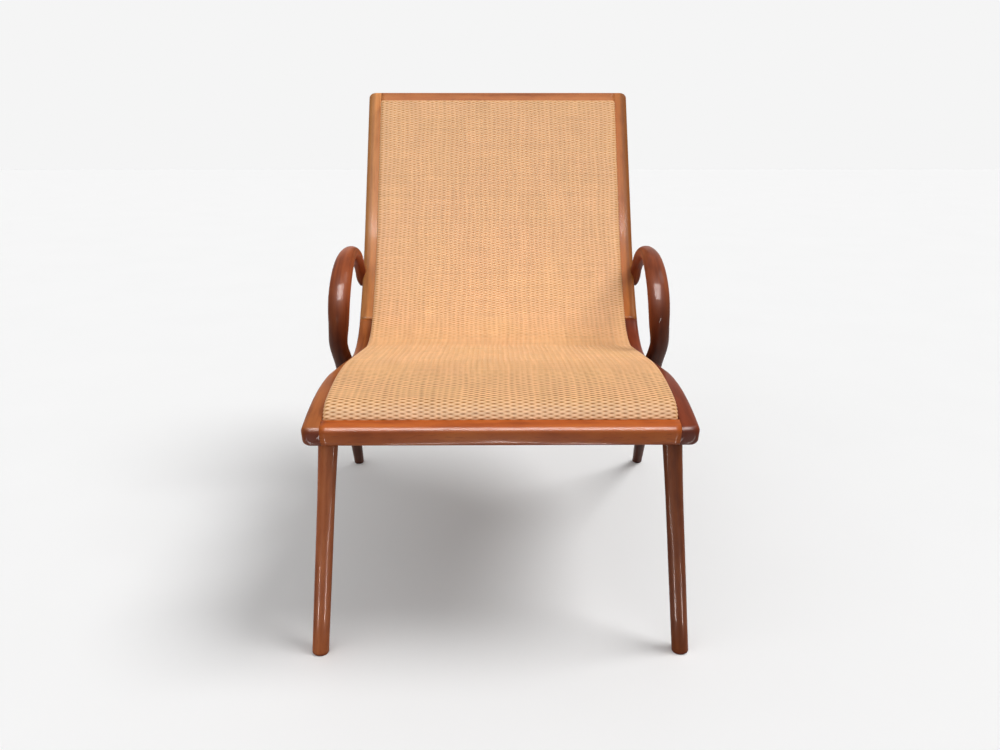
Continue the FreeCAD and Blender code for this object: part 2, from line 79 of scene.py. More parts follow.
STRETCHES = line_stretches()


def on_line(station, lift, x):
    """Point at a station of the seat line, lifted square to it: P = line(s) + lift * (0, -sin h, cos h)."""
    station, lift, x = np.broadcast_arrays(station, lift, x)
    at = np.clip(np.searchsorted(STRETCHES[:, 0], station, side="right") - 1, 0, len(STRETCHES) - 1)
    start, y, z, heading, bow = (STRETCHES[at, column] for column in range(5))
    run = station - start
    safe = np.where(bow == 0, 1.0, bow)
    turned = heading + bow * run
    y = y + np.where(bow == 0, run * np.cos(heading), (np.sin(turned) - np.sin(heading)) / safe)
    z = z + np.where(bow == 0, run * np.sin(heading), (np.cos(heading) - np.cos(turned)) / safe)
    return np.stack([x, y - lift * np.sin(turned), z + lift * np.cos(turned)], axis=-1)


def spline(knots, values, at):
    """Natural cubic through values at knots, read at other places."""
    knots, values = np.asarray(knots, float), np.asarray(values, float)
    gaps = np.diff(knots)
    count = len(knots)
    system = np.eye(count)
    right = np.zeros((count,) + values.shape[1:])
    slopes = np.diff(values, axis=0) / gaps.reshape((-1,) + (1,) * (values.ndim - 1))
    for i in range(1, count - 1):
        system[i, i - 1:i + 2] = gaps[i - 1], 2 * (gaps[i - 1] + gaps[i]), gaps[i]
        right[i] = 6 * (slopes[i] - slopes[i - 1])
    bends = np.linalg.solve(system, right)
    at = np.asarray(at, float)
    i = np.clip(np.searchsorted(knots, at, side="right") - 1, 0, count - 2)
    shape = at.shape + (1,) * (values.ndim - 1)
    gap = gaps[i].reshape(shape)
    low = (at.reshape(shape) - knots[i].reshape(shape)) / gap
    high = 1 - low
    curved = (high ** 3 - high) * bends[i] + (low ** 3 - low) * bends[i + 1]
    return high * values[i] + low * values[i + 1] + curved * gap ** 2 / 6


def skin(name, points, uv, around=True, caps=(True, True), flip=False, ends=None):
    """Mesh from a grid of points (along, across, 3), closed around where asked, with flat end caps."""
    rows, columns = points.shape[:2]
    index = np.arange(rows * columns).reshape(rows, columns)
    side = np.roll(index, -1, axis=1) if around else index[:, 1:]
    near = index if around else index[:, :-1]
    quads = np.stack([near[:-1], side[:-1], side[1:], near[1:]], axis=-1).reshape(-1, 4)
    width = uv.shape[1]
    corner = np.arange(uv.shape[0] * width).reshape(uv.shape[:2])
    uv_quads = np.stack([corner[:-1, :-1], corner[:-1, 1:], corner[1:, 1:], corner[1:, :-1]], axis=-1)
    uv_quads = uv_quads.reshape(-1, 4)
    if flip:
        quads, uv_quads = quads[:, ::-1], uv_quads[:, ::-1]
    faces = quads.tolist()
    loops_uv = [uv.reshape(-1, 2)[uv_quads].reshape(-1, 2)]
    if caps[0]:
        faces.append(index[0, :: 1 if flip else -1].tolist())
        loops_uv.append(uv[0, :columns][:: 1 if flip else -1])
    if caps[1]:
        faces.append(index[-1, :: -1 if flip else 1].tolist())
        loops_uv.append(uv[-1, :columns][:: -1 if flip else 1])
    mesh = bpy.data.meshes.new(name)
    mesh.from_pydata(points.reshape(-1, 3).tolist(), [], faces)
    layer = mesh.uv_layers.new(name="grain")
    layer.data.foreach_set("uv", np.concatenate(loops_uv).astype(np.float32).ravel())
    if ends is not None:
        mark = mesh.attributes.new("end", "FLOAT", "POINT")
        mark.data.foreach_set("value", ends.astype(np.float32).ravel())
    mesh.polygons.foreach_set("use_smooth", np.ones(len(mesh.polygons), bool))
    mesh.update()
    piece = bpy.data.objects.new(name, mesh)
    bpy.context.scene.collection.objects.link(piece)
    return piece


def lengths(points):
    """Distance run along the first axis of a grid of points."""
    steps = np.linalg.norm(np.diff(points, axis=0), axis=-1)
    return np.concatenate([np.zeros_like(steps[:1]), np.cumsum(steps, axis=0)])


def grain_uv(points, across):
    """UV in metres: distance along the piece, and distance around it; the last column closes the ring."""
    along = np.mean(lengths(points), axis=1)
    closed = np.concatenate([across, [across[-1] + across[1] - across[0]]])
    return np.stack(np.meshgrid(along, closed, indexing="ij"), axis=-1)


def linear(hex_colour):
    """sRGB hex colour as linear RGBA."""
    parts = [int(hex_colour[i:i + 2], 16) / 255 for i in (1, 3, 5)]
    return [c / 12.92 if c <= 0.04045 else ((c + 0.055) / 1.055) ** 2.4 for c in parts] + [1.0]


def add(nodes, kind, settings=None, **inputs):
    """One node with its settings, and its inputs linked from sockets or set to values."""
    node = nodes.new(kind)
    for key, value in (settings or {}).items():
        setattr(node, key, value)
    for key, value in inputs.items():
        slot = node.inputs[int(key[1:])] if key[1:].isdigit() else node.inputs[key.replace("_", " ")]
        if isinstance(value, bpy.types.NodeSocket):
            nodes.id_data.links.new(value, slot)
        else:
            slot.default_value = value
    return node


def blank(name, **sockets):
    """New material with a Principled shader whose plain values are set on its own sockets."""
    material = bpy.data.materials.new(name)
    material.use_nodes = True
    shader = material.node_tree.nodes["Principled BSDF"]
    for key, value in sockets.items():
        shader.inputs[key.replace("_", " ")].default_value = value
    return material, material.node_tree.nodes, shader


def ramp(nodes, factor, stops):
    """Colour ramp from (place, hex) stops."""
    node = add(nodes, "ShaderNodeValToRGB", i0=factor)
    bar = node.color_ramp
    while len(bar.elements) < len(stops):
        bar.elements.new(0.5)
    for element, (place, colour) in zip(bar.elements, stops):
        element.position = place
        element.color = linear(colour)
    return node.outputs["Color"]


def toned(nodes, colour, tone):
    """Colour times a grey tone."""
    grey = add(nodes, "ShaderNodeCombineColor", i0=tone, i1=tone, i2=tone)
    return add(nodes, "ShaderNodeMix", {"data_type": "RGBA", "blend_type": "MULTIPLY"},
               i0=1.0, i6=colour, i7=grey.outputs[0]).outputs[2]


def lacquered(name, light, middle, dark, end_colour="#70341F", seed=0.0, low_shade_tone=1.0, outer_shade_tone=1.0):
    """Clear-lacquered mahogany, sanded and sprayed: straight reddish grain under a thin gloss film.
    Broad streaks and soft blotches, darker pore lines along the piece (drawn at 0.7 mm, as coarse as they
    need to be to show), darker end grain, and a faint waviness in the film. The film makes the crisp lights.
    With the low tone below 1, painted shade darkens the colour from a lift of 0.60 m down to 0.40 m; with the
    outer tone below 1, painted shade darkens the outer sides, more than 0.285 m from the middle.
    """
    material, nodes, shader = blank(name, Roughness=0.5, IOR=1.45, Specular_IOR_Level=0.05,
                                    Coat_Weight=0.15, Coat_Roughness=0.12, Coat_IOR=1.35)
    links = material.node_tree.links
    place = add(nodes, "ShaderNodeUVMap", {"uv_map": "grain"}).outputs[0]
    streaks = add(nodes, "ShaderNodeMapping", i0=place, Location=(seed, seed, 0.0), Scale=(3.0, 90.0, 1.0))
    broad = add(nodes, "ShaderNodeTexNoise", Vector=streaks.outputs[0], Scale=1.0, Detail=4.0, Distortion=0.3)
    blotch_place = add(nodes, "ShaderNodeMapping", i0=place, Location=(0.0, seed, 0.0),
                       Scale=(14.0, 45.0, 1.0))
    blotches = add(nodes, "ShaderNodeTexNoise", Vector=blotch_place.outputs[0], Scale=1.0, Detail=2.0)
    mixed = add(nodes, "ShaderNodeMix", i0=0.45, i2=broad.outputs["Fac"], i3=blotches.outputs["Fac"])
    pore_place = add(nodes, "ShaderNodeMapping", i0=place, Location=(seed, 0.0, 0.0),
                     Scale=(60.0, 1400.0, 1.0))
    pores = add(nodes, "ShaderNodeTexNoise", Vector=pore_place.outputs[0], Scale=1.0, Detail=2.0)
    colour = ramp(nodes, mixed.outputs[0], [(0.34, dark), (0.50, middle), (0.66, light)])
    pore_mask = add(nodes, "ShaderNodeMapRange", Value=pores.outputs["Fac"], i1=0.56, i2=0.72, i4=0.45)
    pored = add(nodes, "ShaderNodeMix", {"data_type": "RGBA", "blend_type": "MIX"},
                i0=pore_mask.outputs[0], i6=colour, i7=linear(dark))
    end = add(nodes, "ShaderNodeAttribute", {"attribute_name": "end"})
    ended = add(nodes, "ShaderNodeMix", {"data_type": "RGBA", "blend_type": "MIX"},
                i0=end.outputs["Fac"], i6=pored.outputs[2], i7=linear(end_colour))
    spot = add(nodes, "ShaderNodeSeparateXYZ", i0=add(nodes, "ShaderNodeTexCoord").outputs["Object"])
    # Painted shade on the lower parts, from a lift of 0.60 m down to 0.40 m.
    low = add(nodes, "ShaderNodeMapRange", {"interpolation_type": "SMOOTHSTEP"},
              Value=spot.outputs[2], i1=0.40, i2=0.60, i3=low_shade_tone, i4=1.0)
    side = add(nodes, "ShaderNodeMath", {"operation": "ABSOLUTE"}, i0=spot.outputs[0])
    # Painted shade on the outer sides, more than 0.285 m from the middle.
    outer = add(nodes, "ShaderNodeMapRange", {"interpolation_type": "SMOOTHSTEP"},
                Value=side.outputs[0], i1=0.281, i2=0.289, i3=1.0, i4=outer_shade_tone)
    tone = add(nodes, "ShaderNodeMath", {"operation": "MULTIPLY"}, i0=low.outputs[0], i1=outer.outputs[0])
    links.new(toned(nodes, ended.outputs[2], tone.outputs[0]), shader.inputs["Base Color"])
    film = add(nodes, "ShaderNodeBump", Strength=0.08, Distance=0.0006, Height=broad.outputs["Fac"])
    links.new(film.outputs[0], shader.inputs["Normal"])
    pore_bump = add(nodes, "ShaderNodeBump", Strength=0.03, Distance=0.0004, Height=broad.outputs["Fac"])
    links.new(pore_bump.outputs[0], shader.inputs["Coat Normal"])
    return material


def rounded_section(x_in, x_out, low, high, corners, steps=7):
    """Outline of a bar at each row, as x and lift arrays (rows, points).
    The corner arcs come in the order inner low, outer low, outer high, inner high.
    """
    x, lift = [], []
    signs = [(-1, -1), (1, -1), (1, 1), (-1, 1)]
    for corner, ((sx, sy), radius) in enumerate(zip(signs, corners)):
        angle = math.radians(180 + 90 * corner) + np.linspace(0, math.pi / 2, steps)[None, :]
        edge_x = (x_out if sx > 0 else x_in)[:, None] - sx * radius[:, None]
        edge_y = (high if sy > 0 else low)[:, None] - sy * radius[:, None]
        x.append(edge_x + radius[:, None] * np.cos(angle))
        lift.append(edge_y + radius[:, None] * np.sin(angle))
    return np.concatenate(x, axis=1), np.concatenate(lift, axis=1)


def end_inset(distance, radius):
    """Fall of a rounded end: r - sqrt(r^2 - (r - d)^2) within r of the end, zero beyond."""
    near = np.clip(radius - distance, 0, radius)
    return radius - np.sqrt(np.maximum(radius ** 2 - near ** 2, 0))


def side_member(name, side, first, last, depth_table, nose, material):
    """Side member: the section at each station, P(s, a) = on_line(s, lift(a), x(a)); ends rounded over."""
    ease = 1 - np.cos(np.linspace(0, math.pi / 2, 9))
    body = np.linspace(first + (OUTER_ROUND if nose else 0), last - (0 if nose else OUTER_ROUND), 90)
    if nose:
        station = np.concatenate([ease * OUTER_ROUND, body[1:]])
    else:
        station = np.concatenate([body[:-1], last - ease[::-1] * OUTER_ROUND])
    knots, depths = zip(*depth_table)
    depth = spline(knots, depths, station)
    distance = station - first if nose else last - station
    outer = end_inset(distance, OUTER_ROUND)
    top = end_inset(distance, NOSE_TOP_ROUND if nose else TOP_END_ROUND)
    under = outer if nose else top
    full = np.ones_like(station)
    small = full * INNER_ROUND
    big = np.minimum(full * OUTER_ROUND, (depth - top - under) / 2 - 0.0005)
    x, lift = rounded_section(
        INNER_X * full, HALF_WIDTH - outer, -depth + under, -top, (small, big, big, small))
    points = on_line(station[:, None], lift, side * x)
    ring = np.cumsum(np.concatenate([[0], np.hypot(np.diff(x[40]), np.diff(lift[40]))]))
    reach = np.clip(1 - distance / END_GRAIN, 0, 1) if nose else distance * 0
    piece = skin(name, points, grain_uv(points, ring), flip=side < 0, ends=np.repeat(reach, x.shape[1]))
    piece.data.materials.append(material)
    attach(piece, "root")
    return piece


RAIL_DEPTHS = [(0, 0.036), (0.1246, 0.03675), (0.2492, 0.0375), (0.3457, 0.039), (0.4422, 0.0405),
               (0.5142, 0.042), (JOINT, 0.042)]
STILE_DEPTHS = [(JOINT, 0.042), (0.8061, 0.0373), (0.9746, 0.0327), (1.1431, 0.028)]
# The right-hand pieces take darker copies of the left-hand colours: painted shade for light falling more from
# the left.
RAIL_COLOURS = {"left": ("#B36834", "#A65D2C", "#85451D"), "right": ("#893B1C", "#7A3216", "#5F250E")}
STILE_COLOURS = {"left": ("#F2A65F", "#EA9C57", "#C97B39"), "right": ("#CB7A38", "#C1712E", "#A2571E")}
END_COLOURS = {"left": "#7C3315", "right": "#692911"}
for side, word, shift in ((-1, "left", 0.0), (1, "right", 3.7)):
    rail = side_member(
        word + "_seat_rail_skin", side, 0.0, JOINT, RAIL_DEPTHS, True,
        lacquered(word + "_rail_mahogany", *RAIL_COLOURS[word], END_COLOURS[word], seed=shift))
    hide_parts(word + "_seat_rail")
    # The stiles get painted shade on their outer sides.
    stile = side_member(
        word + "_back_stile_skin", side, JOINT, TOP, STILE_DEPTHS, False,
        lacquered(word + "_stile_mahogany", *STILE_COLOURS[word], seed=shift + 1.3, outer_shade_tone=0.6))
    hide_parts(word + "_back_stile")

# Front rail and top rail
# Cross pieces of the same hardwood between the side members, dowelled, flush with their ends.
# Both edges of the front rail's face are well rounded; the top rail is softened only.
RAIL_THICK = 0.024
RAIL_DEEP = 0.036
TOP_RAIL = 0.028


def cross_rail(name, first, last, depth, front_rounds, back_rounds, material):
    """Rail along X with one outline in station and lift all the way: P(x, a) = on_line(s(a), lift(a))."""
    one = np.ones(1)
    rounds = (front_rounds[0], back_rounds[0], back_rounds[1], front_rounds[1])
    station, lift = rounded_section(first * one, last * one, -depth * one, 0 * one, [r * one for r in rounds])
    x = np.linspace(-INNER_X, INNER_X, 61)
    points = on_line(station[0][None, :], lift[0][None, :], x[:, None])
    ring = np.cumsum(np.concatenate([[0], np.hypot(np.diff(station[0]), np.diff(lift[0]))]))
    piece = skin(name, points, grain_uv(points, ring), flip=False)
    piece.data.materials.append(material)
    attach(piece, "root")
    return piece


front = cross_rail(
    "front_rail_skin", 0.0, RAIL_THICK, RAIL_DEEP, (OUTER_ROUND, NOSE_TOP_ROUND), (INNER_ROUND,) * 2,
    lacquered("front_rail_mahogany", "#CA6C2A", "#BA5C23", "#974518", seed=5.1))
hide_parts("front_rail")
top = cross_rail(
    "top_rail_skin", TOP - TOP_RAIL, TOP, TOP_RAIL, (INNER_ROUND,) * 2, (TOP_END_ROUND,) * 2,
    lacquered("top_rail_mahogany", "#CC8048", "#BC703C", "#985226", seed=6.4))
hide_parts("top_rail")

# Front legs
# Turned tapered legs of the same wood, splayed outwards, thicker at the top, tenoned into the corner blocks.
LEG_FOOT = (0.2995, 0.01971 - DEPTH_SHIFT)
LEG_HEAD = (0.0335, -0.0350, 0.2655)
LEG_RADIUS = 0.0137
FOOT_ROUND = 0.002


def turned_leg(name, side, material):
    """Leg: P(h, a) = foot + axis * h + r(h) * (cos a, sin a) square to the axis; the foot's rim is eased."""
    foot = np.array([side * LEG_FOOT[0], LEG_FOOT[1], 0.0])
    head = on_line(LEG_HEAD[0], LEG_HEAD[1], side * LEG_HEAD[2])
    axis = (head - foot) / np.linalg.norm(head - foot)
    length = np.linalg.norm(head - foot)
    height = np.concatenate([[0.0, 0.0007, FOOT_ROUND], np.linspace(0.006, length, 50)])
    knots = [0.0, 0.0154, length / 2, length - 0.09, length]
    radius = spline(knots, [LEG_RADIUS, LEG_RADIUS, 0.0139, 0.0141, 0.0156], height)
    radius = radius - end_inset(height, FOOT_ROUND)
    turn = np.linspace(0, 2 * math.pi, 41)[:-1]
    across = np.array([1.0, 0.0, 0.0]) - axis * axis[0]
    across /= np.linalg.norm(across)
    other = np.cross(axis, across)
    ring = np.cos(turn)[:, None] * across + np.sin(turn)[:, None] * other
    points = foot + height[:, None, None] * axis + radius[:, None, None] * ring
    points[:, :, 2] = np.maximum(points[:, :, 2], 0.0)
    piece = skin(name, points, grain_uv(points, turn * LEG_RADIUS), flip=False,
                 ends=np.repeat(np.clip(1 - height / END_GRAIN, 0, 1), len(turn)))
    piece.data.materials.append(material)
    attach(piece, "root")
    return piece


# The right leg's colours are a darker copy of the left's: painted shade for light falling more from the left.
LEG_COLOURS = {"left": ("#C27040", "#B06035", "#8C451F"), "right": ("#8C4A24", "#7C3D1A", "#602B10")}
for side, word, shift in ((-1, "left", 7.0), (1, "right", 8.3)):
    leg = turned_leg(
        word + "_front_leg_skin", side, lacquered(word + "_leg_mahogany", *LEG_COLOURS[word], seed=shift))
    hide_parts(word + "_front_leg")

# Arms and rear legs
# One bent member each side: straight from the rear foot past the outside of the seat rail, then up and over
# in a loop whose end comes down against the outside of the stile. Oval section, wider across than it is deep.
# Each row of LOOP_SHARES is back, up, lean, width and thickness, as shares of the loop's own measures.
ARM_FOOT = np.array([0.3585, 0.79002 - DEPTH_SHIFT, 0.0])
ARM_CROSSING = np.array([0.3175, 0.46202 - DEPTH_SHIFT, 0.36904])
LEG_SHARES = [0.0, 0.1, 0.25, 0.4, 0.55, 0.7, 0.85, 1.0]
LOOP_SHARES = [
    (0.150, 0.240, 0.05, 0.88, 1.00), (0.036, 0.450, 0.60, 0.94, 1.00), (0.002, 0.650, 0.91, 1.00, 1.00),
    (0.047, 0.805, 1.05, 1.00, 0.97), (0.189, 0.944, 1.09, 0.95, 0.95), (0.444, 1.000, 0.92, 0.83, 0.93),
    (0.698, 0.963, 0.79, 0.74, 0.91), (0.880, 0.847, 0.76, 0.65, 0.90), (0.971, 0.720, 0.82, 0.56, 0.86),
    (1.000, 0.600, 0.93, 0.48, 0.70), (1.004, 0.565, 0.97, 0.32, 0.45)]


def arm_member(name, side, material):
    """Arm: P(r, a) = path(r) + w(r) cos a * across + t(r) sin a * up, ovals square to a spline.
    The first oval is cut level with the floor, and the next stands clear of it.
    """
    middles, halves = [], []
    for share in LEG_SHARES:
        middles.append(ARM_FOOT + (ARM_CROSSING - ARM_FOOT) * share)
        halves.append((0.0116 + 0.00726 * share, 0.0116 + 0.0029 * share))
    for back, rise, lean, wide, thick in LOOP_SHARES:
        middles.append(np.array([
            0.3175 - 0.016 * lean, 0.37302 + 0.28098 * back - DEPTH_SHIFT, 0.36904 + 0.21373 * rise]))
        halves.append((0.0205 * wide, 0.0145 * thick))
    middles = np.array(middles)
    runs = np.concatenate([[0], np.cumsum(np.linalg.norm(np.diff(middles, axis=0), axis=1))])
    run = np.concatenate([[0.0], np.linspace(0.016, runs[-1], 168)])
    path = spline(runs, middles, run)
    half = spline(runs, np.array(halves), run)
    heading = np.gradient(path, run, axis=0)
    heading /= np.linalg.norm(heading, axis=1)[:, None]
    across = np.array([1.0, 0.0, 0.0]) - heading * heading[:, :1]
    across /= np.linalg.norm(across, axis=1)[:, None]
    up = np.cross(heading, across)
    turn = np.linspace(0, 2 * math.pi, 49)[:-1]
    points = (path[:, None] + half[:, :1, None] * np.cos(turn)[None, :, None] * across[:, None]
              + half[:, 1:, None] * np.sin(turn)[None, :, None] * up[:, None])
    points[0] -= heading[0] * (points[0][:, 2:] / heading[0, 2])
    points[:, :, 0] *= side
    piece = skin(name, points, grain_uv(points, turn * 0.017), flip=side < 0,
                 ends=np.repeat(np.clip((run - runs[-1] + END_GRAIN) / END_GRAIN, 0, 1), len(turn)))
    piece.data.materials.append(material)
    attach(piece, "root")
    return piece


# The right arm's colours are a darker copy of the left's: painted shade for light falling more from the left.
ARM_COLOURS = {"left": ("#AB5A2F", "#984B26", "#723318"), "right": ("#9F522D", "#8C4424", "#682E17")}
for side, word, shift in ((-1, "left", 9.7), (1, "right", 11.2)):
    # The lower arms and rear legs get painted shade below a lift of 0.60 m.
    arm = arm_member(
        word + "_arm_skin", side,
        lacquered(word + "_arm_mahogany", *ARM_COLOURS[word], seed=shift, low_shade_tone=0.36))
    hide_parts(word + "_arm_leg")

# Woven cane panel
# Narrow split cane in a close plain weave, one sheet over seat and back, rolled well over the front of its
# slip frame and turned down over the other edges. Wefts lie across the chair every 3.1 mm, over and under
# flat warps every 9.4 mm; the relief is real, half a millimetre either way.
PANEL_HALF = 0.270
PANEL_FIRST = 0.0255
PANEL_LAST = 1.1136
PANEL_TOP = 0.0195
PANEL_LOW = -0.005
CANE_THICK = 0.0028
CANE_ROUND = 0.007
PLAN_ROUND = 0.004
FRONT_ROLL = 0.038
ROLL_STATION = PANEL_FIRST + FRONT_ROLL * math.sin(math.acos(1 - PANEL_TOP / FRONT_ROLL))
WARPS = 62
WEFTS = 364
FRONT_SPREAD = 0.045
RELIEF = 0.00045


def front_roll(inset, steps=40):
    """Station and lift of the front roll: an arc of the roll's radius, from the front hem up to the flat."""
    radius, top = FRONT_ROLL - inset, PANEL_TOP - inset
    angle = np.linspace(math.acos(1 - top / radius), 0, steps)
    return ROLL_STATION - radius * np.sin(angle), top - radius * (1 - np.cos(angle))


def sheet_profile(count, inset):
    """Station and lift from the front hem to the top hem: wall, roll, flat, quarter round, wall.
    The steps shrink a little on the way, as the wefts are beaten closer on the back.
    """
    station, lift = front_roll(inset)
    radius, last, top = CANE_ROUND - inset, PANEL_LAST - inset, PANEL_TOP - inset
    angle = np.linspace(0, math.pi / 2, 20)
    station = np.concatenate([[station[0]], station, last - radius + radius * np.sin(angle), [last]])
    lift = np.concatenate([[PANEL_LOW], lift, top - radius * (1 - np.cos(angle)), [PANEL_LOW]])
    run = np.concatenate([[0], np.cumsum(np.hypot(np.diff(station), np.diff(lift)))])
    share = np.linspace(0, 1, count)
    even = run[-1] * (share + FRONT_SPREAD * share * (1 - share))
    return np.interp(even, run, station), np.interp(even, run, lift), run[-1]


def side_fold(share, inset):
    """Place and fall across the sheet at a share (-1 to 1) of its half width: flat, quarter round, wall."""
    half, radius, drop = PANEL_HALF - inset, CANE_ROUND - inset, PANEL_TOP - inset - PANEL_LOW
    reach = half - radius + radius * math.pi / 2 + drop - radius
    beyond = np.abs(share) * reach - (half - radius)
    angle = np.clip(beyond / radius, 0, math.pi / 2)
    wall = np.clip(beyond - radius * math.pi / 2, 0, None)
    lean = 0.0006 * (wall / (drop - radius) - 1)
    place = np.where(beyond < 0, np.abs(share) * reach, half - radius + (radius + lean) * np.sin(angle))
    return np.sign(share) * place, radius * (1 - np.cos(angle)) + wall, reach


def woven_surface(inset, columns, rows, relief):
    """Sheet: P(u, v) = on_line(s(v), top - fall(u, v), x(u)), and the weave cos(pi u) cos(pi v) square to it.
    The two falls f and g join as f + g (1 - f / drop), and the corners are rounded in plan. Strands wander.
    """
    drop = PANEL_TOP - inset - PANEL_LOW
    u, v = np.meshgrid(np.linspace(0, WARPS, columns + 1), np.linspace(0, WEFTS, rows + 1))
    station, lift, length = sheet_profile(rows + 1, inset)
    x, fall_x, reach = side_fold(np.linspace(-1, 1, columns + 1), inset)
    x, s = np.meshgrid(x, station)
    fall_x, fall_s = np.meshgrid(fall_x, PANEL_TOP - inset - lift)
    middle, half_length = (station[0] + station[-1]) / 2, (station[-1] - station[0]) / 2
    near_x = np.clip(np.abs(x) - (PANEL_HALF - inset - PLAN_ROUND), 0, None)
    near_s = np.clip(np.abs(s - middle) - (half_length - PLAN_ROUND), 0, None)
    squeeze = 1 - np.maximum(near_x, near_s) / np.maximum(np.hypot(near_x, near_s), 1e-9)
    corner = (near_x > 0) & (near_s > 0)
    x = x - np.where(corner, np.sign(x) * near_x * squeeze, 0)
    s = s - np.where(corner, np.sign(s - middle) * near_s * squeeze, 0)
    points = on_line(s, PANEL_TOP - inset - fall_s - fall_x * (1 - fall_s / drop), x)
    square = np.cross(np.gradient(points, axis=1), np.gradient(points, axis=0))
    square /= np.maximum(np.linalg.norm(square, axis=-1, keepdims=True), 1e-12)
    draw = np.random.default_rng(11)
    warp_wander = np.cumsum(draw.normal(0, 0.016, (rows + 1, 1)), axis=0)
    warp_wander = warp_wander + draw.normal(0, 0.05, (1, columns + 1))
    warp_wander -= warp_wander.mean()
    weft_wander = 0.16 * np.sin(u * 0.37 + 2.0 * np.sin(v * 0.021)) + 0.10 * np.sin(u * 0.83 + v * 0.05)
    warp_sway = 0.12 * np.sin(v * 0.11 + 1.7 * np.sin(u * 0.31))
    uv = np.stack([u + warp_sway + 0.5 * warp_wander, v + weft_wander], axis=-1)
    wave = np.cos(math.pi * uv[..., 0]) * np.cos(math.pi * uv[..., 1])
    return points + relief * wave[..., None] * square, uv, (2 * reach, length)


def rim_of(rows, columns):
    """Vertex numbers round the edge of a grid, once round, starting over at the end."""
    index = np.arange((rows + 1) * (columns + 1)).reshape(rows + 1, columns + 1)
    return np.concatenate([index[0, :-1], index[:-1, -1], index[-1, :0:-1], index[:0:-1, 0], index[:1, 0]])


def cane_sheet(name, finish):
    """Closed sheet: the woven face, a plain under face in steps four times as long, and a hem between."""
    columns, rows = 2 * WARPS, 2 * WEFTS
    face, face_uv, flat = woven_surface(0.0, columns, rows, RELIEF)
    under, under_uv, _ = woven_surface(CANE_THICK, columns // 4, rows // 4, 0.0)
    index = np.arange(face.shape[0] * face.shape[1]).reshape(face.shape[:2])
    lower = np.arange(under.shape[0] * under.shape[1]).reshape(under.shape[:2]) + index.size
    quads = np.stack([index[:-1, :-1], index[:-1, 1:], index[1:, 1:], index[1:, :-1]], axis=-1).reshape(-1, 4)
    lower_quads = np.stack([lower[:-1, :-1], lower[1:, :-1], lower[1:, 1:], lower[:-1, 1:]], axis=-1)
    lower_quads = lower_quads.reshape(-1, 4)
    outer = rim_of(rows, columns)
    inner = rim_of(rows // 4, columns // 4) + index.size
    first = np.arange(len(outer) - 1)
    fans = np.stack([outer[first], inner[(first + 2) // 4], outer[first + 1]], axis=-1)
    turns = np.arange(len(inner) - 1)
    webs = np.stack([outer[4 * turns + 2], inner[turns], inner[turns + 1]], axis=-1)
    faces = quads.tolist() + lower_quads.tolist() + fans.tolist() + webs.tolist()
    mesh = bpy.data.meshes.new(name)
    mesh.from_pydata(np.concatenate([face.reshape(-1, 3), under.reshape(-1, 3)]).tolist(), [], faces)
    uv = np.concatenate([face_uv.reshape(-1, 2), under_uv.reshape(-1, 2)])
    corners = np.zeros(len(mesh.loops), np.int32)
    mesh.loops.foreach_get("vertex_index", corners)
    mesh.uv_layers.new(name="grain").data.foreach_set("uv", uv[corners].astype(np.float32).ravel())
    mesh.polygons.foreach_set("use_smooth", np.ones(len(mesh.polygons), bool))
    mesh.materials.append(finish)
    mesh.update()
    piece = bpy.data.objects.new(name, mesh)
    bpy.context.scene.collection.objects.link(piece)
    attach(piece, "root")
    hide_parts("cane_panel")


